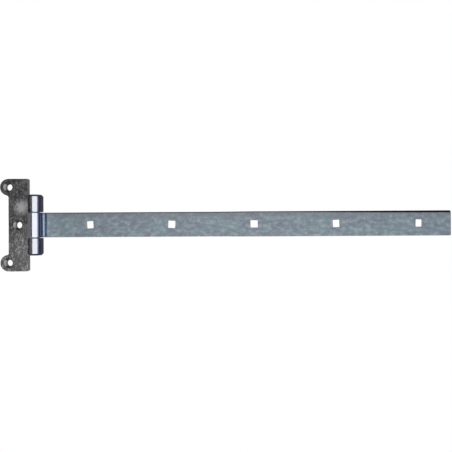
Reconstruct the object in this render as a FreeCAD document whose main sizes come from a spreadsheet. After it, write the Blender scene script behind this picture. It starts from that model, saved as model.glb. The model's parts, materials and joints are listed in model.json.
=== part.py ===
"""A T hinge for gates and ledged doors, drawn as a parametric FreeCAD document, in millimetres.

It has three separate pieces:

  mounting_bracket  a forged plate with two round lugs, three countersunk holes and two knuckles
  strap             a straight flat bar whose end is rolled round the pin, with five square holes
  hinge_pin         a plain pin held by its riveted ends in the bracket's two knuckles

Frame: the hinge lies on its back. +X runs along the strap, +Y along the pin and +Z out of the
mounting plane. The origin is the centre of the bracket's middle hole in that plane. Each piece is
drawn about the pin, in a frame whose Y axis lies under the pin's axis, and its Placement moves it.
"""

import FreeCAD, Part
import math
import os

import Sketcher
from FreeCAD import Vector

DIMENSIONS = {
    # strap: a 30 x 5 flat bar with square holes for M8 carriage bolts
    "strap_width": 30,
    "strap_thickness": 5,
    "first_hole": 63,
    "hole_pitch": 100,
    "hole_count": 5,
    "hole_square": 9,
    "end_margin": 39,
    "strap_edge_round": 0.8,
    "strap_corner_round": 1.5,
    "seam_gap": 0.3,
    # pin: its ends are riveted over into the countersunk ends of the knuckles
    "pin_diameter": 8,
    "running_clearance": 0.05,
    "rivet_depth": 1.25,
    "rivet_crown": 0.3,
    # bracket plate, measured from the pin's axis
    "plate_height": 112.5,
    "plate_thickness": 6,
    "plate_near_edge": 11.2,
    "plate_far_edge": 34.7,
    "plate_corner_round": 1.5,
    "plate_edge_round": 0.6,
    "lug_radius": 10.25,
    "lug_root_round": 2,
    # bracket holes, for M8 bolts or coach screws
    "middle_hole_distance": 23,
    "bolt_hole": 8,
    "bolt_hole_mouth": 12,
    # bracket knuckles
    "knuckle_radius": 8.5,
    "knuckle_length": 20.8,
    "knuckle_gap": 0.5,
}

doc = FreeCAD.newDocument("t_hinge")
sheet = doc.addObject("Spreadsheet::Sheet", "Dimensions")
for row, (alias, value) in enumerate(DIMENSIONS.items(), start=1):
    sheet.set(f"A{row}", alias)
    sheet.set(f"B{row}", str(value))
    sheet.setAlias(f"B{row}", alias)
doc.recompute()

# Lengths that follow from the driving dimensions, as expressions on the sheet.
EYE_BORE_RADIUS = "(Dimensions.pin_diameter / 2 + Dimensions.running_clearance)"
PIN_HEIGHT = f"({EYE_BORE_RADIUS} + Dimensions.strap_thickness)"
STRAP_REACH = (
    "(Dimensions.first_hole + Dimensions.hole_pitch * (Dimensions.hole_count - 1)"
    " + Dimensions.end_margin)"
)
GAP_LENGTH = "(Dimensions.strap_width + 2 * Dimensions.knuckle_gap)"
BARREL_LENGTH = f"({GAP_LENGTH} + 2 * Dimensions.knuckle_length)"
LUG_HEIGHT = "(Dimensions.plate_height / 2 - Dimensions.lug_radius)"
NECK_START = "(Dimensions.plate_near_edge + Dimensions.plate_edge_round)"
HOLE_MOUTH_DEPTH = "((Dimensions.bolt_hole_mouth - Dimensions.bolt_hole) / 2)"
RIVET_RADIUS = "(Dimensions.pin_diameter / 2 + Dimensions.rivet_depth)"

NEAR = 0.01  # how far, in mm or mm3, a place or volume may be off and still count as the same


def size(expression):
    """The value of an expression on the sheet."""
    return float(sheet.evalExpression(expression))


def new_body(label):
    """A body that stands for one piece, placed so that distances from the pin become the frame's."""
    body = doc.addObject("PartDesign::Body", label + "_body")
    body.Label = label
    body.setExpression("Placement.Base.x", "Dimensions.middle_hole_distance")
    return body


def origin_feature(body, role):
    """The body's own origin plane or axis with that role."""
    return next(f for f in body.Origin.OriginFeatures if f.Role == role)


def new_sketch(body, name, role):
    """An empty sketch on one of the body's origin planes."""
    sketch = body.newObject("Sketcher::SketchObject", name)
    sketch.AttachmentSupport = [(origin_feature(body, role), "")]
    sketch.MapMode = "FlatFace"
    return sketch


def constrain(sketch, name, expression, kind, *elements):
    """A named dimension of a sketch that follows an expression on the sheet."""
    index = sketch.addConstraint(Sketcher.Constraint(kind, *elements, size(expression)))
    sketch.renameConstraint(index, name)
    sketch.setExpression("Constraints." + name, expression)


def relate(sketch, *relations):
    """Constraints that hold no dimension, such as Coincident, Tangent or Vertical."""
    for relation in relations:
        sketch.addConstraint(Sketcher.Constraint(*relation))


def add_line(sketch, start, end):
    """A line between two points given as (x, y) in the sketch."""
    return sketch.addGeometry(Part.LineSegment(Vector(*start, 0), Vector(*end, 0)), False)


def add_circle(sketch, centre, radius):
    """A full circle."""
    return sketch.addGeometry(Part.Circle(Vector(*centre, 0), Vector(0, 0, 1), radius), False)


def add_arc(sketch, centre, radius, start, end):
    """An arc that runs counter-clockwise between two angles in degrees."""
    circle = Part.Circle(Vector(*centre, 0), Vector(0, 0, 1), radius)
    arc = Part.ArcOfCircle(circle, math.radians(start), math.radians(end))
    return sketch.addGeometry(arc, False)


def add_rectangle(sketch, low, high):
    """A closed rectangle: the numbers of its bottom and right lines."""
    corners = [low, (high[0], low[1]), high, (low[0], high[1])]
    lines = [add_line(sketch, corners[i], corners[(i + 1) % 4]) for i in range(4)]
    for i in range(4):
        relate(sketch, ("Coincident", lines[i], 2, lines[(i + 1) % 4], 1))
    for line, direction in zip(lines, ("Horizontal", "Vertical", "Horizontal", "Vertical")):
        relate(sketch, (direction, line))
    return lines[0], lines[1]


def add_feature(body, kind, name, sketch, length, midplane=False, reverse=False):
    """A Pad or Pocket of a sketch whose length follows an expression on the sheet."""
    before = body.Shape.Volume if body.Tip else 0.0
    feature = body.newObject("PartDesign::" + kind, name)
    feature.Profile = sketch
    feature.SideType = "Symmetric" if midplane else "One side"
    feature.Reversed = reverse
    feature.setExpression("Length", length)
    doc.recompute()
    changed = body.Shape.Volume - before
    if (changed > 0) != (kind == "Pad") or abs(changed) < NEAR:
        raise RuntimeError(f"{name} changed the volume by {changed:.3f} mm3")
    return feature


def add_edge_feature(body, kind, name, chosen, length):
    """A Fillet or Chamfer of the tip's edges for which chosen(edge) is true."""
    base = body.Tip
    names = [f"Edge{i}" for i, edge in enumerate(base.Shape.Edges, start=1) if chosen(edge)]
    if not names:
        raise RuntimeError(f"{name} found no edges")
    feature = body.newObject("PartDesign::" + kind, name)
    feature.Base = (base, names)
    feature.setExpression("Radius" if kind == "Fillet" else "Size", length)
    doc.recompute()
    return feature


def lies_at(edge, axis, *places):
    """True if the edge lies wholly at one of those coordinates along an axis (X, Y or Z)."""
    ends = (getattr(edge.BoundBox, axis + "Min"), getattr(edge.BoundBox, axis + "Max"))
    return any(all(abs(end - place) < NEAR for end in ends) for place in places)


def is_round(edge, radius):
    """True if the edge is part of a circle of that radius."""
    return hasattr(edge.Curve, "Radius") and abs(edge.Curve.Radius - radius) < NEAR


def make_strap():
    """The flat bar, its end rolled under, round and over the pin and closed on its own face."""
    body = new_body("strap")
    bore, eye = size(EYE_BORE_RADIUS), size(PIN_HEIGHT)
    reach, thick = size(STRAP_REACH), size("Dimensions.strap_thickness")
    half_width = size("Dimensions.strap_width / 2")
    tip = thick + size("Dimensions.seam_gap")
    tip_angle = math.degrees(math.asin((tip - eye) / eye))

    profile = new_sketch(body, "strap_profile", "XZ_Plane")
    back = add_line(profile, (0, 0), (reach, 0))
    end = add_line(profile, (reach, 0), (reach, thick))
    front = add_line(profile, (reach, thick), (0, thick))
    inside = add_arc(profile, (0, eye), bore, tip_angle, 270)
    tip_face = add_line(
        profile,
        (bore * math.cos(math.radians(tip_angle)), eye + bore * math.sin(math.radians(tip_angle))),
        (eye * math.cos(math.radians(tip_angle)), tip),
    )
    outside = add_arc(profile, (0, eye), eye, tip_angle, 270)
    relate(
        profile,
        ("Coincident", back, 1, -1, 1),
        ("Coincident", back, 2, end, 1),
        ("Coincident", end, 2, front, 1),
        ("Tangent", front, 2, inside, 2),
        ("Coincident", inside, 1, tip_face, 1),
        ("Coincident", tip_face, 2, outside, 1),
        ("Tangent", outside, 2, back, 1),
        ("Coincident", inside, 3, outside, 3),
        ("PointOnObject", outside, 3, tip_face),
        ("Horizontal", back),
        ("Vertical", end),
        ("Horizontal", front),
    )
    constrain(profile, "reach", STRAP_REACH, "DistanceX", back, 1, back, 2)
    constrain(profile, "thickness", "Dimensions.strap_thickness", "DistanceY", end, 1, end, 2)
    constrain(profile, "bore", EYE_BORE_RADIUS, "Radius", inside)
    constrain(
        profile,
        "tip",
        "Dimensions.strap_thickness + Dimensions.seam_gap",
        "DistanceY",
        -1,
        1,
        outside,
        1,
    )
    add_feature(body, "Pad", "rolled_bar", profile, "Dimensions.strap_width", midplane=True)

    add_edge_feature(
        body,
        "Fillet",
        "end_corners",
        lambda edge: lies_at(edge, "X", reach) and lies_at(edge, "Y", -half_width, half_width),
        "Dimensions.strap_corner_round",
    )
    add_edge_feature(
        body,
        "Fillet",
        "long_edges",
        lambda edge: lies_at(edge, "Y", -half_width, half_width) and lies_at(edge, "Z", 0, thick),
        "Dimensions.strap_edge_round",
    )

    side = size("Dimensions.hole_square")
    first = size("Dimensions.first_hole")
    square = new_sketch(body, "square_hole", "XY_Plane")
    bottom, right = add_rectangle(
        square, (first - side / 2, -side / 2), (first + side / 2, side / 2)
    )
    centred = "Dimensions.first_hole - Dimensions.hole_square / 2"
    constrain(square, "side_x", "Dimensions.hole_square", "DistanceX", bottom, 1, bottom, 2)
    constrain(square, "side_y", "Dimensions.hole_square", "DistanceY", right, 1, right, 2)
    constrain(square, "from_pin", centred, "DistanceX", -1, 1, bottom, 1)
    constrain(square, "half_side", "Dimensions.hole_square / 2", "DistanceY", -1, 1, right, 2)
    pocket = add_feature(
        body, "Pocket", "first_square_hole", square, "Dimensions.strap_thickness", reverse=True
    )

    one_hole = body.Shape.Volume
    pattern = body.newObject("PartDesign::LinearPattern", "square_holes")
    pattern.Originals = [pocket]
    pattern.Direction = (origin_feature(body, "X_Axis"), [""])
    pattern.Mode = "Spacing"
    pattern.setExpression("Offset", "Dimensions.hole_pitch")
    pattern.setExpression("Occurrences", "Dimensions.hole_count")
    body.Tip = pattern
    doc.recompute()
    expected = (size("Dimensions.hole_count") - 1) * side**2 * thick
    if abs(one_hole - body.Shape.Volume - expected) > 1:
        raise RuntimeError("the square holes aren't all there")
    return body


def make_bracket():
    """The forged plate with its lugs, and the two knuckles that carry the pin's ends."""
    body = new_body("mounting_bracket")
    near, far = size("Dimensions.plate_near_edge"), size("Dimensions.plate_far_edge")
    half_height = size("Dimensions.plate_height / 2")
    thick = size("Dimensions.plate_thickness")

    outline = new_sketch(body, "plate_outline", "XY_Plane")
    bottom, right = add_rectangle(outline, (-far, -half_height), (-near, half_height))
    constrain(outline, "near_edge", "Dimensions.plate_near_edge", "DistanceX", bottom, 2, -1, 1)
    constrain(outline, "far_edge", "Dimensions.plate_far_edge", "DistanceX", bottom, 1, -1, 1)
    constrain(outline, "height", "Dimensions.plate_height", "DistanceY", right, 1, right, 2)
    constrain(outline, "half_height", "Dimensions.plate_height / 2", "DistanceY", -1, 1, right, 2)
    add_feature(body, "Pad", "plate", outline, "Dimensions.plate_thickness")

    add_edge_feature(
        body,
        "Fillet",
        "plate_corners",
        lambda edge: lies_at(edge, "X", -near) and lies_at(edge, "Y", -half_height, half_height),
        "Dimensions.plate_corner_round",
    )

    lug_height, lug_radius = size(LUG_HEIGHT), size("Dimensions.lug_radius")
    lugs = new_sketch(body, "lug_outline", "XY_Plane")
    for name, side in (("upper", 1), ("lower", -1)):
        lug = add_circle(lugs, (-far, side * lug_height), lug_radius)
        ends = (-1, 1, lug, 3) if side > 0 else (lug, 3, -1, 1)
        constrain(lugs, name + "_radius", "Dimensions.lug_radius", "Radius", lug)
        constrain(lugs, name + "_place", "Dimensions.plate_far_edge", "DistanceX", lug, 3, -1, 1)
        constrain(lugs, name + "_height", LUG_HEIGHT, "DistanceY", *ends)
    add_feature(body, "Pad", "lugs", lugs, "Dimensions.plate_thickness")

    root = lug_height - lug_radius
    add_edge_feature(
        body,
        "Fillet",
        "lug_roots",
        lambda edge: lies_at(edge, "X", -far) and lies_at(edge, "Y", -root, root),
        "Dimensions.lug_root_round",
    )

    add_edge_feature(
        body,
        "Fillet",
        "plate_front_edge",
        lambda edge: lies_at(edge, "Z", thick),
        "Dimensions.plate_edge_round",
    )

    height, radius = size(PIN_HEIGHT), size("Dimensions.knuckle_radius")
    neck_start = size(NECK_START)
    neck_angle = 180 + math.degrees(math.asin((height - thick) / radius))
    meeting = (-radius * math.cos(math.asin((height - thick) / radius)), thick)
    knuckle = new_sketch(body, "knuckle_profile", "XZ_Plane")
    curve = add_arc(knuckle, (0, height), radius, -90, neck_angle)
    above = add_line(knuckle, meeting, (-neck_start, thick))
    behind = add_line(knuckle, (-neck_start, thick), (-neck_start, height - radius))
    below = add_line(knuckle, (-neck_start, height - radius), (0, height - radius))
    relate(
        knuckle,
        ("Coincident", curve, 2, above, 1),
        ("Coincident", above, 2, behind, 1),
        ("Coincident", behind, 2, below, 1),
        ("Tangent", below, 2, curve, 1),
        ("Horizontal", above),
        ("Vertical", behind),
        ("Horizontal", below),
        ("PointOnObject", curve, 3, -2),
    )
    constrain(knuckle, "radius", "Dimensions.knuckle_radius", "Radius", curve)
    constrain(knuckle, "pin_height", PIN_HEIGHT, "DistanceY", -1, 1, curve, 3)
    constrain(knuckle, "neck_start", NECK_START, "DistanceX", behind, 1, -1, 1)
    constrain(knuckle, "neck_top", "Dimensions.plate_thickness", "DistanceY", -1, 1, behind, 1)
    add_feature(body, "Pad", "barrel", knuckle, BARREL_LENGTH, midplane=True)

    reach = height + radius
    gap = new_sketch(body, "eye_gap", "XZ_Plane")
    bottom, right = add_rectangle(gap, (-near, 0), (reach, reach))
    constrain(gap, "near_edge", "Dimensions.plate_near_edge", "DistanceX", bottom, 1, -1, 1)
    constrain(gap, "far_side", f"{PIN_HEIGHT} + Dimensions.knuckle_radius", "DistanceX", -1, 1, bottom, 2)
    constrain(gap, "top", f"{PIN_HEIGHT} + Dimensions.knuckle_radius", "DistanceY", right, 1, right, 2)
    relate(gap, ("PointOnObject", bottom, 1, -1))
    add_feature(body, "Pocket", "room_for_the_eye", gap, GAP_LENGTH, midplane=True)

    bore = new_sketch(body, "pin_bore", "XZ_Plane")
    hole = add_circle(bore, (0, height), size("Dimensions.pin_diameter / 2"))
    constrain(bore, "radius", "Dimensions.pin_diameter / 2", "Radius", hole)
    constrain(bore, "pin_height", PIN_HEIGHT, "DistanceY", -1, 1, hole, 3)
    relate(bore, ("PointOnObject", hole, 3, -2))
    add_feature(body, "Pocket", "pin_hole", bore, BARREL_LENGTH, midplane=True)

    barrel_end = size(BARREL_LENGTH) / 2
    pin_radius = size("Dimensions.pin_diameter / 2")
    add_edge_feature(
        body,
        "Chamfer",
        "rivet_seats",
        lambda edge: is_round(edge, pin_radius) and lies_at(edge, "Y", -barrel_end, barrel_end),
        "Dimensions.rivet_depth",
    )

    places = {"middle": ("Dimensions.middle_hole_distance", 0)}
    places["upper"] = ("Dimensions.plate_far_edge", 1)
    places["lower"] = ("Dimensions.plate_far_edge", -1)
    bolts = new_sketch(body, "bolt_holes", "XY_Plane")
    for name, (distance, side) in places.items():
        hole = add_circle(bolts, (-size(distance), side * lug_height), size("Dimensions.bolt_hole / 2"))
        constrain(bolts, name + "_radius", "Dimensions.bolt_hole / 2", "Radius", hole)
        constrain(bolts, name + "_distance", distance, "DistanceX", hole, 3, -1, 1)
        if side:
            ends = (-1, 1, hole, 3) if side > 0 else (hole, 3, -1, 1)
            constrain(bolts, name + "_height", LUG_HEIGHT, "DistanceY", *ends)
        else:
            relate(bolts, ("PointOnObject", hole, 3, -1))
    add_feature(body, "Pocket", "drilled_holes", bolts, "Dimensions.plate_thickness", reverse=True)

    bolt_radius = size("Dimensions.bolt_hole / 2")
    add_edge_feature(
        body,
        "Chamfer",
        "countersinks",
        lambda edge: is_round(edge, bolt_radius) and lies_at(edge, "Z", thick),
        HOLE_MOUTH_DEPTH,
    )
    return body


def make_pin():
    """The pin about its own axis: a shank between two riveted ends with a low crown."""
    body = new_body("hinge_pin")
    body.setExpression("Placement.Base.z", PIN_HEIGHT)
    shank, head = size("Dimensions.pin_diameter / 2"), size(RIVET_RADIUS)
    end = size(BARREL_LENGTH) / 2
    depth, crown = size("Dimensions.rivet_depth"), size("Dimensions.rivet_crown")
    crown_radius = (head**2 + crown**2) / (2 * crown)
    spread = math.degrees(math.asin(head / crown_radius))

    half = new_sketch(body, "pin_half_profile", "XY_Plane")
    middle = end + crown - crown_radius
    lower = add_arc(half, (0, -middle), crown_radius, -90, -90 + spread)
    lower_cone = add_line(half, (head, -end), (shank, depth - end))
    side = add_line(half, (shank, depth - end), (shank, end - depth))
    upper_cone = add_line(half, (shank, end - depth), (head, end))
    upper = add_arc(half, (0, middle), crown_radius, 90 - spread, 90)
    axis = add_line(half, (0, end + crown), (0, -end - crown))
    relate(
        half,
        ("Coincident", lower, 2, lower_cone, 1),
        ("Coincident", lower_cone, 2, side, 1),
        ("Coincident", side, 2, upper_cone, 1),
        ("Coincident", upper_cone, 2, upper, 1),
        ("Coincident", upper, 2, axis, 1),
        ("Coincident", axis, 2, lower, 1),
        ("PointOnObject", axis, 1, -2),
        ("PointOnObject", axis, 2, -2),
        ("PointOnObject", lower, 3, -2),
        ("PointOnObject", upper, 3, -2),
        ("Symmetric", side, 1, side, 2, -1),
        ("Symmetric", lower_cone, 1, upper_cone, 2, -1),
        ("Equal", lower, upper),
    )
    constrain(half, "shank", "Dimensions.pin_diameter / 2", "DistanceX", -1, 1, side, 1)
    constrain(half, "head", RIVET_RADIUS, "DistanceX", -1, 1, upper_cone, 2)
    constrain(half, "length", BARREL_LENGTH, "DistanceY", lower_cone, 1, upper_cone, 2)
    constrain(half, "seat", "Dimensions.rivet_depth", "DistanceY", upper_cone, 1, upper_cone, 2)
    constrain(half, "crown", "Dimensions.rivet_crown", "DistanceY", upper_cone, 2, upper, 2)
    turned = body.newObject("PartDesign::Revolution", "turned_pin")
    turned.Profile = half
    turned.ReferenceAxis = (half, ["V_Axis"])
    turned.Angle = 360
    doc.recompute()
    return body


def check_document():
    """Stops the script if any object of the document failed."""
    for thing in doc.Objects:
        if "Invalid" in thing.State or "Error" in thing.State:
            raise RuntimeError(f"{thing.Label} failed: {thing.State}")


pieces = [make_bracket(), make_strap(), make_pin()]
doc.recompute()
check_document()
for piece in pieces:
    if piece.Shape.isNull() or not piece.Shape.isValid() or len(piece.Shape.Solids) != 1:
        raise RuntimeError(f"{piece.Label} isn't one valid solid")

os.makedirs("parts", exist_ok=True)
for piece in pieces:
    piece.Shape.exportStep(f"parts/{piece.Label}.step")
    box = piece.Shape.BoundBox
    print(
        f"{piece.Label}: {piece.Shape.Volume:.0f} mm3,"
        f" x {box.XMin:.2f} to {box.XMax:.2f}, y {box.YMin:.2f} to {box.YMax:.2f},"
        f" z {box.ZMin:.2f} to {box.ZMax:.2f}"
    )
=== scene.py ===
"""The looks of a T hinge: a rough forged bracket, a zinc-coated strap rolled round the pin, and the
riveted pin. Metres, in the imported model's frame: +X along the strap, +Y along the pin, +Z upwards."""

import json
import math

import bmesh
import bpy
from mathutils import Matrix, Vector, noise


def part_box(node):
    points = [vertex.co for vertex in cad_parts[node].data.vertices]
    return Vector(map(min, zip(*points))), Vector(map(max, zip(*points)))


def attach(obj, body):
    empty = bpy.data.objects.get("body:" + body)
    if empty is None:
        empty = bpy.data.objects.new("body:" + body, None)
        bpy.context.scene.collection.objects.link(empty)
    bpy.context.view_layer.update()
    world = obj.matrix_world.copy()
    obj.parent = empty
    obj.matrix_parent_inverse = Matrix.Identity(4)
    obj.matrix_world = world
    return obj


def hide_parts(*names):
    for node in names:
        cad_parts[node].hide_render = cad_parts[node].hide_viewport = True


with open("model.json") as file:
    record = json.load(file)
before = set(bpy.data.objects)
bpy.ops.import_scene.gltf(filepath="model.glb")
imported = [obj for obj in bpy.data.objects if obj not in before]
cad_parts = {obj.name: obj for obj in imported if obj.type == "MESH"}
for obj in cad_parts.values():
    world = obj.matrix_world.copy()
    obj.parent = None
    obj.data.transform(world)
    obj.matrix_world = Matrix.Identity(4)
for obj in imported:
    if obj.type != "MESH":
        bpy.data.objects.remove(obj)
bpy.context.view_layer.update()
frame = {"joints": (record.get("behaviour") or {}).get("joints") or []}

MM = 0.001

# ---------------------------------------------------------------- sizes, from the frame and in mm
joint = frame["joints"][0]
PIN_X = joint["pos_m"][0]
PIN_Z = joint["pos_m"][2]
strap_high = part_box("strap")[1]
bracket_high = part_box("mounting_bracket")[1]
pin_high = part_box("hinge_pin")[1]

STRAP_THICKNESS = 5 * MM
STRAP_EDGE_ROUND = 0.9 * MM
STRAP_CORNER_ROUND = 1.5 * MM
STRAP_HALF_WIDTH = strap_high.y
STRAP_END = strap_high.x
EYE_RADIUS = PIN_Z
SEAM_GAP = 0.3 * MM
HOLE_PITCH = 100 * MM
FIRST_HOLE = PIN_X + 63 * MM
HOLE_COUNT = 5
HOLE_SIDE = 9 * MM

PLATE_THICKNESS = 6 * MM
PLATE_NEAR_EDGE = PIN_X - 11.2 * MM
PLATE_FAR_EDGE = PIN_X - 34.7 * MM
PLATE_HALF_HEIGHT = bracket_high.y
LUG_RADIUS = 10.25 * MM
BOLT_HOLE_RADIUS = 4 * MM
BOLT_MOUTH_RADIUS = 6 * MM
KNUCKLE_RADIUS = 8.5 * MM
KNUCKLE_GAP = 0.5 * MM
KNUCKLE_LENGTH = 20.8 * MM
KNUCKLE_INNER = STRAP_HALF_WIDTH + KNUCKLE_GAP
BARREL_HALF_LENGTH = KNUCKLE_INNER + KNUCKLE_LENGTH
PIN_RADIUS = 4 * MM
RIVET_DEPTH = 1.25 * MM
TOOL_OVERRUN = 1 * MM


# ---------------------------------------------------------------- mesh helpers
def make_object(name, mesh):
    """A new object in the scene, at the origin, that holds the mesh."""
    made = bpy.data.objects.new(name, mesh)
    bpy.context.scene.collection.objects.link(made)
    return made


def mesh_object(name, vertices, faces):
    """An object made from vertices and faces, with its normals turned outwards."""
    mesh = bpy.data.meshes.new(name)
    mesh.from_pydata(vertices, [], faces)
    work = bmesh.new()
    work.from_mesh(mesh)
    bmesh.ops.recalc_face_normals(work, faces=work.faces)
    work.to_mesh(mesh)
    work.free()
    return make_object(name, mesh)


def arc(centre, radius, start, end, steps=24):
    """Points on an arc between two angles in degrees, both ends included."""
    angles = [math.radians(start + (end - start) * i / steps) for i in range(steps + 1)]
    return [(centre[0] + radius * math.cos(a), centre[1] + radius * math.sin(a)) for a in angles]


def prism(name, outline, low, high, axis="Z"):
    """A solid with a flat outline: (x, y) raised along Z, or (x, z) along Y."""
    place = (lambda p, t: (p[0], p[1], t)) if axis == "Z" else (lambda p, t: (p[0], t, p[1]))
    count = len(outline)
    vertices = [place(p, low) for p in outline] + [place(p, high) for p in outline]
    faces = [list(range(count)), list(range(count, 2 * count))]
    faces += [[i, (i + 1) % count, count + (i + 1) % count, count + i] for i in range(count)]
    return mesh_object(name, vertices, faces)


def turned(name, profile, axis_point, axis="Z", segments=72):
    """A solid turned about an axis through a point; the profile is (radius, place along the axis)."""
    vertices, faces = [], []
    for radius, along in profile:
        for i in range(segments):
            angle = 2 * math.pi * i / segments
            across = (radius * math.cos(angle), radius * math.sin(angle))
            if axis == "Z":
                offset = (across[0], across[1], along)
            else:
                offset = (across[0], along, across[1])
            vertices.append(tuple(a + b for a, b in zip(axis_point, offset)))
    for row in range(len(profile) - 1):
        for i in range(segments):
            a, b = row * segments + i, row * segments + (i + 1) % segments
            faces.append([a, b, b + segments, a + segments])
    last = (len(profile) - 1) * segments
    faces.append(list(range(segments)))
    faces.append(list(range(last, last + segments)))
    return mesh_object(name, vertices, faces)


def apply_modifiers(target):
    """Bakes the object's modifiers into its mesh."""
    graph = bpy.context.evaluated_depsgraph_get()
    mesh = bpy.data.meshes.new_from_object(target.evaluated_get(graph))
    old = target.data
    target.modifiers.clear()
    target.data = mesh
    mesh.name = target.name
    bpy.data.meshes.remove(old)


def combine(target, tools, operation):
    """Joins tools to the target or cuts them from it, and removes them."""
    for tool in tools:
        modifier = target.modifiers.new("combine", "BOOLEAN")
        modifier.operation = operation
        modifier.solver = "MANIFOLD"
        modifier.object = tool
    apply_modifiers(target)
    for tool in tools:
        mesh = tool.data
        bpy.data.objects.remove(tool)
        bpy.data.meshes.remove(mesh)


def smooth_between_creases(target, degrees):
    """Smooth shading, broken at edges sharper than an angle."""
    target.data.shade_smooth()
    target.data.set_sharp_from_angle(angle=math.radians(degrees))


def uneven(point, size, seed):
    """Smooth noise of about -1 to 1 at a point, for bumps of a given size."""
    return noise.noise(Vector(point) / size + Vector((seed, 0, 0)))


def displace(target, shift):
    """Moves every vertex along its normal by shift(position, normal)."""
    mesh = target.data
    moves = [v.normal * shift(v.co, v.normal) for v in mesh.vertices]
    for vertex, move in zip(mesh.vertices, moves):
        vertex.co += move
    mesh.update()


def step_between(low, high, value):
    """0 below low, 1 above high, with a smooth rise between."""
    t = min(max((value - low) / (high - low), 0), 1)
    return t * t * (3 - 2 * t)


def graded(low, high, coarse, marks, reach, fine):
    """Places from low to high, spaced coarse apart, but fine within reach of each mark."""
    places = [low]
    while places[-1] < high:
        near = min(abs(places[-1] - mark) for mark in marks)
        share = step_between(reach, 2 * reach, near)
        places.append(places[-1] + fine + (coarse - fine) * share)
    scale = (high - low) / (places[-1] - low)
    return [low + (p - low) * scale for p in places]


# ---------------------------------------------------------------- strap
CRISP_EDGE_ROUND = 0.5 * MM
SHEARED_EDGE = 0.15 * MM
CORNER_STEPS = 4
WORN_STEPS = 7
END_STEPS = 8
ROLL_STEPS = 100
SECTION_STEPS = [p / 100 for p in graded(-100, 100, 9, [0], 34, 3)]
COARSE_STEP, FINE_STEP, FINE_REACH = 2 * MM, 0.45 * MM, 7 * MM
WORN_AT_EYE, WORN_AT_END = 1.1 * MM, 3.8 * MM
FAR_PART = 290 * MM
FAR_PART_SPREAD = 0.3 * MM
STRAP_CREASE = 32
HOLE_CORNER = 0.5 * MM
HOLE_NARROWER = 0.15 * MM
HOLE_BREAKOUT = 1.03
# each hole's turn in degrees, and its shift along the strap
HOLE_SKEW = (3.5, -3, 0.5, 2.5, -0.5)
HOLE_SHIFT = (0.4 * MM, -0.3 * MM, 0.1 * MM, 0, 0.5 * MM)


def rounded_off(radius, depth):
    """How far a quarter round has fallen back from its flank, at a depth from its end."""
    return radius - math.sqrt(max(radius**2 - (radius - depth) ** 2, 0))


def bar_section(half_width, half_thickness, worn):
    """The bar's cross-section, as points (across, through), counter-clockwise.

    Its front arris on the +Y side is worn off wider, as far across as worn says.
    """
    rounding = min(STRAP_EDGE_ROUND, half_thickness)
    crisp = min(CRISP_EDGE_ROUND, half_thickness)
    flat = half_width - rounding
    side = half_thickness - rounding
    crisp_side = half_thickness - crisp
    start, end = crisp - half_width, half_width - worn
    across = [start + (end - start) * (t + 1) / 2 for t in SECTION_STEPS]
    points = [(flat * t, -half_thickness) for t in SECTION_STEPS]
    points += arc((flat, -side), rounding, -90, 0, CORNER_STEPS)[1:]
    for angle in [math.radians(90 * i / WORN_STEPS) for i in range(WORN_STEPS + 1)]:
        fall = rounding * (1 - math.sin(angle))
        points.append((end + worn * math.cos(angle), half_thickness - fall))
    points += [(y, half_thickness) for y in reversed(across[1:-1])]
    points += arc((start, crisp_side), crisp, 90, 180, CORNER_STEPS)
    points += arc((-flat, -side), rounding, 180, 270, CORNER_STEPS)[:-1]
    return points


def strap_path():
    """Stations (centre, direction towards the front face, half width, half thickness)."""
    holes = [FIRST_HOLE + i * HOLE_PITCH for i in range(HOLE_COUNT)]
    middle = STRAP_THICKNESS / 2
    stations = []
    # the free end, with its corners and arrises rounded
    for i in range(END_STEPS + 1):
        depth = STRAP_CORNER_ROUND * (1 - math.cos(math.radians(90 * i / END_STEPS)))
        half_width = STRAP_HALF_WIDTH - rounded_off(STRAP_CORNER_ROUND, depth)
        half_thickness = middle - rounded_off(STRAP_EDGE_ROUND, min(depth, STRAP_EDGE_ROUND))
        place = Vector((STRAP_END - depth, 0, middle))
        stations.append((place, Vector((0, 0, 1)), half_width, half_thickness))
    straight_end = STRAP_END - STRAP_CORNER_ROUND
    straight = graded(PIN_X, straight_end, COARSE_STEP, holes, FINE_REACH, FINE_STEP)
    for x in reversed(straight[:-1]):
        stations.append((Vector((x, 0, middle)), Vector((0, 0, 1)), STRAP_HALF_WIDTH, middle))
    # the roll: down the far side of the pin, up, over and back onto the front face
    tip_height = STRAP_THICKNESS + SEAM_GAP
    tip = 360 + math.degrees(math.asin((tip_height - EYE_RADIUS) / EYE_RADIUS))
    turn = tip - 90
    radius = EYE_RADIUS - middle
    for i in range(1, ROLL_STEPS + 1):
        angle = math.radians(-90 - turn * i / ROLL_STEPS)
        outward = Vector((math.cos(angle), 0, math.sin(angle)))
        centre = Vector((PIN_X, 0, PIN_Z)) + radius * outward
        stations.append((centre, -outward, STRAP_HALF_WIDTH, middle))
    # the sheared tip, its arrises just broken
    centre, inward, half_width, half_thickness = stations[-1]
    stations[-1] = (centre, inward, half_width - SHEARED_EDGE, half_thickness - SHEARED_EDGE)
    return stations


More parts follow.
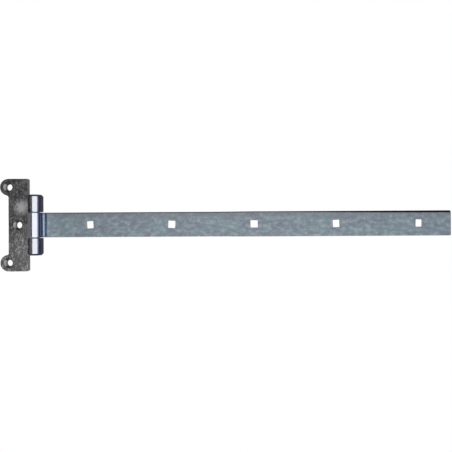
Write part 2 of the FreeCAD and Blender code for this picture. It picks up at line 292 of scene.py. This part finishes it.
def make_strap():
    """The bar swept along its path, wavy as rolled stock is, with punched square holes."""
    vertices, faces = [], []
    stations = strap_path()
    for centre, inward, half_width, half_thickness in stations:
        half_width += FAR_PART_SPREAD * step_between(FAR_PART - 60 * MM, FAR_PART, centre.x)
        wear = step_between(FAR_PART, STRAP_END, centre.x)
        worn = WORN_AT_EYE + (WORN_AT_END - WORN_AT_EYE) * wear
        for across, through in bar_section(half_width, half_thickness, worn):
            vertices.append(centre + Vector((0, across, 0)) + inward * through)
    count = len(vertices) // len(stations)
    for row in range(len(stations) - 1):
        for i in range(count):
            a, b = row * count + i, row * count + (i + 1) % count
            faces.append([a, b, b + count, a + count])
    faces.append(list(range(count)))
    faces.append(list(range(len(vertices) - count, len(vertices))))
    strap = mesh_object("strap_bar", vertices, faces)

    def rolled(point, normal):
        """Long shallow waves of the rolled bar, and the sunk rim round each punched hole."""
        wave = uneven((point.x, 2 * point.y, 3 * point.z), 40 * MM, 1.7) - 1
        wave += 0.5 * (uneven(point, 9 * MM, 5.1) - 1)
        along = (point.x - FIRST_HOLE) / HOLE_PITCH
        beside = abs(along - round(along)) * HOLE_PITCH - HOLE_SIDE / 2
        outside = max(beside, abs(point.y) - HOLE_SIDE / 2)
        is_hole = -0.5 < along < HOLE_COUNT - 0.5
        sunk = math.exp(-max(outside, 0) / (0.5 * MM)) if is_hole and normal.z > 0.9 else 0
        return 0.02 * MM * wave - 0.16 * MM * sunk

    displace(strap, rolled)
    combine(strap, [make_punch(i) for i in range(HOLE_COUNT)], "DIFFERENCE")
    smooth_between_creases(strap, STRAP_CREASE)
    return strap


def make_punch(index):
    """The slug that a punch drives out: square, a little skewed, and wider where it breaks out."""
    inset = HOLE_SIDE / 2 - HOLE_CORNER
    outline = []
    for x, y, start in ((1, 1, 0), (-1, 1, 90), (-1, -1, 180), (1, -1, 270)):
        centre = (x * inset, y * (inset - HOLE_NARROWER))
        outline += arc(centre, HOLE_CORNER, start, start + 90, 5)
    punch = prism(f"punch_{index}", outline, -TOOL_OVERRUN, STRAP_THICKNESS + TOOL_OVERRUN)
    for vertex in punch.data.vertices:
        if vertex.co.z < 0:
            vertex.co.x *= HOLE_BREAKOUT
            vertex.co.y *= HOLE_BREAKOUT
    turn = Matrix.Rotation(math.radians(HOLE_SKEW[index]), 4, "Z")
    shift = Matrix.Translation((FIRST_HOLE + index * HOLE_PITCH + HOLE_SHIFT[index], 0, 0))
    punch.data.transform(shift @ turn)
    return punch


# ---------------------------------------------------------------- bracket
FORGING_VOXEL = 0.45 * MM
BRACKET_CREASE = 33
UPPER_ROOT, LOWER_ROOT = 3 * MM, 1.4 * MM
UPPER_CORNER, LOWER_CORNER = 0.9 * MM, 2.2 * MM
NECK_FILLET = 2 * MM
NECK_INSIDE_PLATE = 3 * MM
BEVEL_LENGTH, BEVEL_DEPTH = 2.2 * MM, 1.9 * MM


def plate_outline():
    """The plate's outline with its two lugs, counter-clockwise from the lower corner."""
    far, near, top = PLATE_FAR_EDGE, PLATE_NEAR_EDGE, PLATE_HALF_HEIGHT
    lug_height = top - LUG_RADIUS
    points = arc((near - LOWER_CORNER, LOWER_CORNER - top), LOWER_CORNER, -90, 0, 8)
    points += arc((near - UPPER_CORNER, top - UPPER_CORNER), UPPER_CORNER, 0, 90, 8)
    for side, root in ((1, UPPER_ROOT), (-1, LOWER_ROOT)):
        rise = math.sqrt(LUG_RADIUS**2 + 2 * LUG_RADIUS * root)
        turn = math.degrees(math.atan2(rise, root))
        lug = arc((far, side * lug_height), LUG_RADIUS, side * 90, side * (180 + turn), 40)
        notch = arc((far - root, side * (lug_height - rise)), root, side * turn, 0, 10)
        points += lug + notch if side > 0 else list(reversed(lug + notch))
    return points


def make_bevel(side, segments=96):
    """The ring, three-sided in section, that turns a slope on a knuckle's outer end."""
    profile = [
        (KNUCKLE_RADIUS + BEVEL_DEPTH, side * (BARREL_HALF_LENGTH - 2 * BEVEL_LENGTH)),
        (KNUCKLE_RADIUS - 2 * BEVEL_DEPTH, side * (BARREL_HALF_LENGTH + BEVEL_LENGTH)),
        (KNUCKLE_RADIUS + BEVEL_DEPTH, side * (BARREL_HALF_LENGTH + BEVEL_LENGTH)),
    ]
    vertices, faces = [], []
    for radius, along in profile:
        for i in range(segments):
            angle = 2 * math.pi * i / segments
            across, up = radius * math.cos(angle), radius * math.sin(angle)
            vertices.append((PIN_X + across, along, PIN_Z + up))
    count = len(profile)
    for row in range(count):
        for i in range(segments):
            a, b = row * segments + i, row * segments + (i + 1) % segments
            c, d = [((row + 1) % count) * segments + k % segments for k in (i + 1, i)]
            faces.append([a, b, c, d])
    return mesh_object("bevel_ring", vertices, faces)


def knuckle_outline():
    """A knuckle's outline (x, z) with its neck, from its lowest point round to the plate."""
    drop = PIN_Z - PLATE_THICKNESS - NECK_FILLET
    reach = math.sqrt((KNUCKLE_RADIUS + NECK_FILLET) ** 2 - drop**2)
    lean = math.degrees(math.asin(drop / (KNUCKLE_RADIUS + NECK_FILLET)))
    inside = PLATE_NEAR_EDGE - NECK_INSIDE_PLATE
    points = arc((PIN_X, PIN_Z), KNUCKLE_RADIUS, -90, 180 + lean, 80)
    points += arc((PIN_X - reach, PIN_Z - drop), NECK_FILLET, lean, -90, 10)
    points += [(inside, PLATE_THICKNESS), (inside, PIN_Z - KNUCKLE_RADIUS)]
    return points


def make_drills():
    """Three countersinking drills: for the hole in the plate's middle and one in each lug."""
    mouth = PLATE_THICKNESS - (BOLT_MOUTH_RADIUS - BOLT_HOLE_RADIUS)
    profile = [
        (BOLT_HOLE_RADIUS, -TOOL_OVERRUN),
        (BOLT_HOLE_RADIUS, mouth),
        (BOLT_MOUTH_RADIUS, PLATE_THICKNESS),
        (BOLT_MOUTH_RADIUS + TOOL_OVERRUN, PLATE_THICKNESS + TOOL_OVERRUN),
    ]
    lug_height = PLATE_HALF_HEIGHT - LUG_RADIUS
    places = [(0, 0), (PLATE_FAR_EDGE, lug_height), (PLATE_FAR_EDGE, -lug_height)]
    return [turned(f"drill_{i}", profile, (x, y, 0)) for i, (x, y) in enumerate(places)]


def make_reamer():
    """The tool for the pin's bore, with a cone at each end for the riveted crowns."""
    cone = PIN_RADIUS + RIVET_DEPTH + TOOL_OVERRUN
    profile = [
        (cone, -BARREL_HALF_LENGTH - TOOL_OVERRUN),
        (PIN_RADIUS, RIVET_DEPTH - BARREL_HALF_LENGTH),
        (PIN_RADIUS, BARREL_HALF_LENGTH - RIVET_DEPTH),
        (cone, BARREL_HALF_LENGTH + TOOL_OVERRUN),
    ]
    return turned("reamer", profile, (PIN_X, 0, PIN_Z), "Y")


def make_bracket():
    """One forging: plate, lugs, necks and knuckles flow together.

    The holes and the slopes at the barrel's ends are cut afterwards, so their edges are crisp.
    """
    bracket = prism("bracket_forging", plate_outline(), 0, PLATE_THICKNESS)
    outline = knuckle_outline()
    blanks = [
        prism("upper_knuckle", outline, KNUCKLE_INNER, BARREL_HALF_LENGTH, "Y"),
        prism("lower_knuckle", outline, -BARREL_HALF_LENGTH, -KNUCKLE_INNER, "Y"),
    ]
    combine(bracket, blanks, "UNION")
    remesh = bracket.modifiers.new("flow", "REMESH")
    remesh.mode = "VOXEL"
    remesh.voxel_size = FORGING_VOXEL
    soften = bracket.modifiers.new("soften", "SMOOTH")
    soften.factor = 0.5
    soften.iterations = 5
    apply_modifiers(bracket)

    def forged(point, _):
        """Scale pits and hammer marks on the plate, and hardly any on the knuckles."""
        plain = step_between(PLATE_NEAR_EDGE, PIN_X - 7 * MM, point.x)
        depth = 1 - 0.85 * plain
        rough = 0.09 * uneven(point, 7 * MM, 2.2) + 0.06 * uneven(point, 2.4 * MM, 8.4)
        rough += 0.04 * uneven(point, 1.1 * MM, 3.9)
        pits = max(uneven(point, 3.2 * MM, 12.6) - 0.45, 0)
        return MM * (depth * (min(rough, 0.1) - 0.1 - 0.3 * pits) + 0.01)

    displace(bracket, forged)
    tools = make_drills() + [make_reamer(), make_bevel(1), make_bevel(-1)]
    combine(bracket, tools, "DIFFERENCE")
    smooth_between_creases(bracket, BRACKET_CREASE)
    return bracket


# ---------------------------------------------------------------- pin
CROWN_STEPS, SHANK_STEPS = 14, 24
PIN_CREASE = 40


def make_pin():
    """The pin: a plain shank between ends hammered over into low crowns."""
    crown = pin_high.y - BARREL_HALF_LENGTH
    head = PIN_RADIUS + RIVET_DEPTH
    shank_end = BARREL_HALF_LENGTH - RIVET_DEPTH
    shares = [i / CROWN_STEPS for i in range(1, CROWN_STEPS + 1)]
    end = [(head * share, BARREL_HALF_LENGTH + crown * (1 - share**2)) for share in shares]
    end.append((PIN_RADIUS, shank_end))
    steps = range(1, SHANK_STEPS)
    shank = [(PIN_RADIUS, shank_end * (1 - 2 * i / SHANK_STEPS)) for i in steps]
    profile = end + shank + [(r, -y) for r, y in reversed(end)]
    pin = turned("riveted_pin", profile, (PIN_X, 0, PIN_Z), "Y", 96)

    def hammered(point, _):
        """Dents where the ends were peened over, inside the crown's height."""
        if abs(point.y) < BARREL_HALF_LENGTH - 0.2 * MM:
            return -0.01 * MM
        return MM * (0.08 * uneven(point, 2.1 * MM, 4.4) - 0.08)

    displace(pin, hammered)
    smooth_between_creases(pin, PIN_CREASE)
    return pin


# ---------------------------------------------------------------- materials
# a pale patch of painted reflection on the plate: its centre, core, reach and ragged edge
PAINTED_SHEEN_SPOT = (4 * MM, 22 * MM, PLATE_THICKNESS)
PAINTED_SHEEN_CORE, PAINTED_SHEEN_REACH, PAINTED_SHEEN_RAGGED = 10 * MM, 20 * MM, 16 * MM


class Nodes:
    """Short calls that add shader nodes to a new material."""

    def __init__(self, name):
        self.material = bpy.data.materials.new(name)
        self.material.use_nodes = True
        self.tree = self.material.node_tree
        self.shader = self.tree.nodes["Principled BSDF"]
        coordinates = self.add("ShaderNodeTexCoord")
        self.place = coordinates.outputs["Object"]
        self.normal = coordinates.outputs["Normal"]

    def add(self, kind, **values):
        node = self.tree.nodes.new(kind)
        for name, value in values.items():
            setattr(node, name, value)
        return node

    def fill(self, socket, value):
        """Sets a socket to a number or colour, or links it to another node's output."""
        if isinstance(value, bpy.types.NodeSocket):
            self.tree.links.new(value, socket)
        else:
            socket.default_value = value

    def xyz(self, vector):
        """The three parts of a vector."""
        node = self.add("ShaderNodeSeparateXYZ")
        self.fill(node.inputs[0], vector)
        return node.outputs[:]

    def noise(self, size, detail=3, roughness=0.5, stretch=None):
        """Fractal noise with bumps of about a given size in metres."""
        node = self.add("ShaderNodeTexNoise")
        node.inputs["Scale"].default_value = 1 / size
        node.inputs["Detail"].default_value = detail
        node.inputs["Roughness"].default_value = roughness
        place = self.place
        if stretch:
            mapping = self.add("ShaderNodeMapping")
            mapping.inputs["Scale"].default_value = stretch
            self.fill(mapping.inputs["Vector"], place)
            place = mapping.outputs["Vector"]
        self.fill(node.inputs["Vector"], place)
        return node.outputs["Fac"]

    def cells(self, size):
        """Voronoi cells of about a given size in metres, with one random number in each."""
        node = self.add("ShaderNodeTexVoronoi")
        node.inputs["Scale"].default_value = 1 / size
        self.fill(node.inputs["Vector"], self.place)
        parts = self.add("ShaderNodeSeparateColor")
        self.fill(parts.inputs["Color"], node.outputs["Color"])
        return parts.outputs["Red"]

    def distance(self, point):
        """How far the surface is from a point, in metres."""
        node = self.add("ShaderNodeVectorMath", operation="DISTANCE")
        self.fill(node.inputs[0], self.place)
        self.fill(node.inputs[1], point)
        return node.outputs["Value"]

    def math(self, operation, first, second=0.0):
        node = self.add("ShaderNodeMath", operation=operation)
        self.fill(node.inputs[0], first)
        self.fill(node.inputs[1], second)
        return node.outputs[0]

    def times(self, first, *others):
        """The product of several numbers."""
        for other in others:
            first = self.math("MULTIPLY", first, other)
        return first

    def larger(self, first, second):
        return self.math("MAXIMUM", first, second)

    def less(self, first, second):
        return self.math("SUBTRACT", first, second)

    def span(self, value, low, high, new_low=0.0, new_high=1.0):
        """Maps a value smoothly from one range to another, and holds it beyond the ends."""
        node = self.add("ShaderNodeMapRange", interpolation_type="SMOOTHSTEP")
        for socket, number in zip(node.inputs[:5], (value, low, high, new_low, new_high)):
            self.fill(socket, number)
        return node.outputs["Result"]

    def mix(self, share, first, second):
        """A colour between two others."""
        node = self.add("ShaderNodeMix", data_type="RGBA")
        self.fill(node.inputs["Factor"], share)
        self.fill(node.inputs[6], first)
        self.fill(node.inputs[7], second)
        return node.outputs[2]

    def bump(self, height, depth):
        """A bumped normal, whose height of 0 to 1 stands for a depth in metres."""
        node = self.add("ShaderNodeBump")
        node.inputs["Distance"].default_value = depth
        self.fill(node.inputs["Height"], height)
        return node.outputs["Normal"]

    def finish(self, colour, roughness, normal, metallic=1.0):
        self.fill(self.shader.inputs["Base Color"], colour)
        self.fill(self.shader.inputs["Roughness"], roughness)
        self.fill(self.shader.inputs["Normal"], normal)
        self.fill(self.shader.inputs["Metallic"], metallic)
        return self.material


def colour(red, green, blue):
    """A linear colour from its sRGB values out of 255."""
    def linear(value):
        value /= 255
        return value / 12.92 if value <= 0.04045 else ((value + 0.055) / 1.055) ** 2.4

    return (linear(red), linear(green), linear(blue), 1.0)


def zinc_material():
    """Hot-dip zinc: mottled on the bar, and burnished smooth and bright on the rolled eye.

    The bar is the flat beyond the eye. Its punched walls are dull and pale, its upper front arris
    is painted dark, a painted reflection of the dim room, it is painted darker and bluer beside
    the eye as painted shade, and a painted highlight line runs where it meets the eye.
    """
    n = Nodes("galvanised_zinc")
    x, y, z = n.xyz(n.place)
    facing_x, facing_y, facing_z = n.xyz(n.normal)
    front = STRAP_THICKNESS
    flat = n.span(z, front + 0.05 * MM, front + 0.25 * MM, 1.0, 0.0)
    bar = n.times(flat, n.span(x, PIN_X + 4 * MM, PIN_X + 6 * MM))
    flank = n.span(x, PIN_X - 0.8 * MM, PIN_X - 3 * MM)
    weathered = n.span(x, PIN_X + 9 * MM, PIN_X + 26 * MM)
    wall = n.span(n.math("ABSOLUTE", facing_x), 0.6, 0.85)
    # painted reflection: the mask of the upper front arris, which is painted near black as the dim room
    # it would mirror
    arris = n.times(
        n.span(facing_y, 0.02, 0.16),
        n.span(facing_z, 0.0, 0.15),
        n.span(x, 30 * MM, STRAP_END, 0.6, 1.0),
        n.span(y, 8 * MM, 10 * MM),
    )

    patches = n.span(n.noise(12 * MM, 4, 0.6, (0.6, 1, 1)), 0.35, 0.65)
    tone = n.mix(patches, colour(135, 144, 155), colour(141, 161, 164))
    spots = n.span(n.noise(5 * MM, 4, 0.62, (0.7, 1, 1)), 0.42, 0.68)
    tone = n.mix(n.times(spots, 0.6), tone, colour(190, 199, 201))
    upper_part = n.span(y, 4 * MM, 14 * MM, 0.0, 0.55)
    tone = n.mix(upper_part, tone, colour(140, 139, 142))
    tone = n.mix(n.times(n.cells(1.8 * MM), 0.22), tone, colour(90, 100, 112))
    tone = n.mix(wall, tone, colour(206, 210, 212))
    # painted reflection: the upper front arris painted dark
    tone = n.mix(arris, tone, colour(30, 30, 32))
    # painted shade: the bar is painted darker and bluer beside the eye, as the eye's shadow and dark
    # reflection
    painted_shade_beside_eye = n.span(x, PIN_X + 20 * MM, PIN_X + 10 * MM, 0.0, 0.5)
    tone = n.mix(painted_shade_beside_eye, tone, colour(112, 122, 138))
    # painted reflection: a bright bluish highlight line painted on the bar where it meets the eye
    painted_highlight_at_crease = n.span(x, PIN_X + 9.2 * MM, PIN_X + 8.4 * MM)
    tone = n.mix(painted_highlight_at_crease, tone, colour(214, 222, 240))
    bright = n.mix(n.noise(6 * MM, 3), colour(222, 224, 232), colour(238, 240, 246))
    tone = n.mix(bar, n.mix(flank, bright, colour(176, 176, 179)), tone)

    rough_bar = n.span(n.noise(3.4 * MM, 3), 0.3, 0.7, 0.34, 0.46)
    rough_eye = n.span(n.noise(5 * MM, 2), 0.3, 0.7, 0.12, 0.18)
    rough = n.mix(weathered, rough_eye, rough_bar)
    rough = n.larger(rough, n.span(flank, 0.0, 1.0, 0.0, 0.42))
    grain = n.times(n.noise(2.2 * MM, 3, 0.55), n.span(bar, 0.0, 1.0, 0.08, 1.0))
    dull = n.larger(n.times(weathered, 0.4), n.times(flank, 0.5))
    dull = n.times(n.larger(dull, n.times(wall, weathered)), n.less(1.0, arris))
    return n.finish(tone, rough, n.bump(grain, 0.05 * MM), n.less(1.0, dull))


def forge_material():
    """Dark forge scale, rough and speckled, worn to bright smooth metal on the knuckles.

    The plate has a pale patch of painted reflection above its middle hole. Its countersinks are
    smoother and painted darker as shade, with a painted highlight where they face the strap,
    and its cut side towards the strap is paler.
    """
    n = Nodes("forged_iron")
    x, y, z = n.xyz(n.place)
    facing_x, _, facing_z = n.xyz(n.normal)
    worn = n.span(x, PIN_X - 3 * MM, PIN_X - 0.8 * MM)
    cone = n.times(n.span(facing_z, 0.5, 0.65), n.span(facing_z, 0.85, 0.76))
    sheared = n.times(n.span(facing_x, 0.4, 0.68), 0.75)
    ragged = n.times(n.noise(3 * MM, 4, 0.65), PAINTED_SHEEN_RAGGED)
    ragged = n.math("ADD", n.distance(PAINTED_SHEEN_SPOT), ragged)
    # painted reflection: a pale patch on the plate's front near the upper knuckle
    painted_sheen = n.span(ragged, PAINTED_SHEEN_REACH, PAINTED_SHEEN_CORE, 0.0, 0.85)
    painted_sheen = n.times(painted_sheen, n.span(z, PLATE_THICKNESS - 3 * MM, PLATE_THICKNESS - 1 * MM))

    patches = n.span(n.noise(10 * MM, 5, 0.62), 0.35, 0.68)
    scale = n.mix(patches, colour(70, 69, 67), colour(110, 109, 106))
    specks = n.span(n.noise(1.7 * MM, 3, 0.65, (1, 0.6, 1)), 0.47, 0.68)
    speckled = n.span(y, 10 * MM, -25 * MM, 0.45, 1.0)
    scale = n.mix(n.times(specks, speckled), scale, colour(200, 199, 195))
    lower = n.span(y, -4 * MM, -20 * MM, 0.0, 0.2)
    scale = n.mix(lower, scale, colour(190, 188, 185))
    # painted reflection: the pale patch mixed into the scale
    scale = n.mix(painted_sheen, scale, colour(216, 215, 211))
    # painted shade: the countersink cones are painted darker
    scale = n.mix(cone, scale, colour(84, 84, 83))
    # painted highlight: a cone side facing +X is painted near white as a glint; the flat cut side
    # facing +X takes the paler 152 tone
    cut = n.mix(cone, colour(152, 151, 149), colour(240, 240, 238))
    scale = n.mix(sheared, scale, cut)
    bright = n.mix(n.noise(5 * MM, 3), colour(214, 216, 220), colour(230, 231, 234))
    tone = n.mix(worn, scale, bright)

    rough_scale = n.less(n.span(n.noise(2.5 * MM, 4), 0.3, 0.7, 0.42, 0.58), n.times(cone, 0.25))
    rough_worn = n.span(n.noise(4 * MM, 3), 0.3, 0.7, 0.12, 0.2)
    rough = n.mix(worn, rough_scale, rough_worn)
    grain = n.times(n.noise(1.5 * MM, 4, 0.6), n.span(worn, 0.0, 1.0, 1.0, 0.08))
    metallic = n.larger(worn, n.span(sheared, 0.0, 0.7, 0.75, 0.2))
    return n.finish(tone, rough, n.bump(grain, 0.2 * MM), metallic)


def pin_material():
    """The pin's peened steel ends."""
    n = Nodes("peened_steel")
    tone = n.mix(n.noise(3 * MM, 4), colour(118, 118, 124), colour(176, 176, 182))
    rough = n.span(n.noise(1.6 * MM, 3), 0.3, 0.7, 0.28, 0.42)
    return n.finish(tone, rough, n.bump(n.noise(1.2 * MM, 3), 0.05 * MM))


# ---------------------------------------------------------------- pieces
strap = make_strap()
bracket = make_bracket()
pin = make_pin()
for piece, body, node, finish, material in (
    (strap, "strap_leaf", "strap", "galvanised_strap", zinc_material()),
    (bracket, "bracket", "mounting_bracket", "forged_bracket", forge_material()),
    (pin, "bracket", "hinge_pin", "pin_steel", pin_material()),
):
    piece.data.materials.clear()
    piece.data.materials.append(material)
    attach(piece, body)
    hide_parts(node)

# ---------------------------------------------------------------- floor, light and camera
FLOOR_DROP = 0.2 * MM
FLOOR_SIZE = 6
BACKDROP_RADIUS = 8
HORIZON_LOW, HORIZON_HIGH = -0.7, 0.05
ROOM_BELOW = (0.078, 0.072, 0.08, 1)
ROOM_ABOVE = (0.036, 0.038, 0.075, 1)
WHITE = (1.0, 1.0, 1.0)
BOX_HEIGHT = 2
BOX_NEAR, BOX_FAR = -1.333 * BOX_HEIGHT, 0.389 * BOX_HEIGHT
WALL_LEFT, WALL_RIGHT = PIN_X - 1.6, PIN_X + 2.2
WALL_DISTANCE = 2.2
WALL_BOTTOM = 0.5
WALL_RADIANCE = 0.6
CAMERA_PLACE = Vector((PIN_X + 0.22877, -0.0024, 0.485))
CAMERA_ROLL = -0.31
SENSOR_WIDTH, LENS = 36, 31.508


def emitter(name, tint):
    """A material that shines by itself."""
    material = bpy.data.materials.new(name)
    material.use_nodes = True
    nodes = material.node_tree.nodes
    nodes.remove(nodes["Principled BSDF"])
    shine = nodes.new("ShaderNodeEmission")
    shine.inputs["Color"].default_value = tint
    material.node_tree.links.new(shine.outputs[0], nodes["Material Output"].inputs["Surface"])
    return material


def make_stage():
    """A white floor under the hinge and a white backdrop round it, seen only by the camera.

    The floor also throws light back onto the hinge, as diffuse light.
    """
    white = emitter("white_floor", (*WHITE, 1))
    bpy.ops.mesh.primitive_plane_add(size=FLOOR_SIZE, location=(PIN_X, 0, -FLOOR_DROP))
    floor = bpy.context.object
    floor.name = "floor"
    bpy.ops.mesh.primitive_uv_sphere_add(
        segments=48, ring_count=24, radius=BACKDROP_RADIUS, location=(PIN_X, 0, 0)
    )
    backdrop = bpy.context.object
    backdrop.name = "backdrop"
    backdrop.visible_diffuse = False
    for surface in (floor, backdrop):
        surface.data.materials.append(white)
        surface.visible_glossy = False
        surface.visible_shadow = False


def make_room():
    """A dim room that the metal reflects: a little bluer and darker above the horizon."""
    scene.world = bpy.data.worlds.new("room")
    scene.world.use_nodes = True
    room = scene.world.node_tree
    heights = room.nodes.new("ShaderNodeSeparateXYZ")
    direction = room.nodes.new("ShaderNodeTexCoord").outputs["Generated"]
    room.links.new(direction, heights.inputs[0])
    rise = room.nodes.new("ShaderNodeMapRange")
    rise.interpolation_type = "SMOOTHSTEP"
    rise.inputs["From Min"].default_value = HORIZON_LOW
    rise.inputs["From Max"].default_value = HORIZON_HIGH
    room.links.new(heights.outputs["Z"], rise.inputs["Value"])
    walls = room.nodes.new("ShaderNodeMix")
    walls.data_type = "RGBA"
    walls.inputs[6].default_value = ROOM_BELOW
    walls.inputs[7].default_value = ROOM_ABOVE
    room.links.new(rise.outputs["Result"], walls.inputs["Factor"])
    room.links.new(walls.outputs[2], room.nodes["Background"].inputs["Color"])


def softbox(name, corners, radiance, tint):
    """A rectangular light between three corners: near, along its width, and along its height."""
    near, along, up = (Vector(c) for c in corners)
    width, height = along - near, up - near
    light = bpy.data.lights.new(name, "AREA")
    light.shape = "RECTANGLE"
    light.size = width.length
    light.size_y = height.length
    light.energy = radiance * math.pi * light.size * light.size_y
    light.color = tint
    holder = bpy.data.objects.new(name, light)
    across, upward = width.normalized(), height.normalized()
    facing = Matrix((across, upward, across.cross(upward))).transposed()
    holder.matrix_world = Matrix.Translation(near + (width + height) / 2) @ facing.to_4x4()
    scene.collection.objects.link(holder)


def overhead(name, start, end, radiance, tint):
    """A softbox over the hinge, between two angles from the vertical, in degrees towards +X."""
    left, right = (PIN_X + BOX_HEIGHT * math.tan(math.radians(a)) for a in (start, end))
    corners = [(left, BOX_NEAR), (right, BOX_NEAR), (left, BOX_FAR)]
    softbox(name, [(x, y, BOX_HEIGHT) for x, y in corners], radiance, tint)


def side_wall(name, side):
    """A softbox that stands beside the hinge, towards +Y or -Y."""
    start, end = (WALL_RIGHT, WALL_LEFT) if side > 0 else (WALL_LEFT, WALL_RIGHT)
    corners = [(start, WALL_BOTTOM), (end, WALL_BOTTOM), (start, BOX_HEIGHT)]
    softbox(name, [(x, side * WALL_DISTANCE, z) for x, z in corners], WALL_RADIANCE, WHITE)


def make_camera():
    """The camera looks straight down on about the middle of the hinge."""
    camera = bpy.data.objects.new("camera", bpy.data.cameras.new("camera"))
    camera.data.sensor_width = SENSOR_WIDTH
    camera.data.lens = LENS
    camera.location = CAMERA_PLACE
    camera.rotation_euler = (0, 0, math.radians(CAMERA_ROLL))
    scene.collection.objects.link(camera)
    scene.camera = camera


scene = bpy.context.scene
scene.view_settings.view_transform = "Standard"
make_stage()
make_room()
overhead("overhead_wide", -28, 45, 1.1, WHITE)
overhead("overhead_core", 2, 44, 0.18, (0.8, 0.92, 1.0))
overhead("overhead_fringe", 45, 61, 0.34, (0.6, 0.72, 1.0))
side_wall("upper_wall", 1)
side_wall("lower_wall", -1)
make_camera()
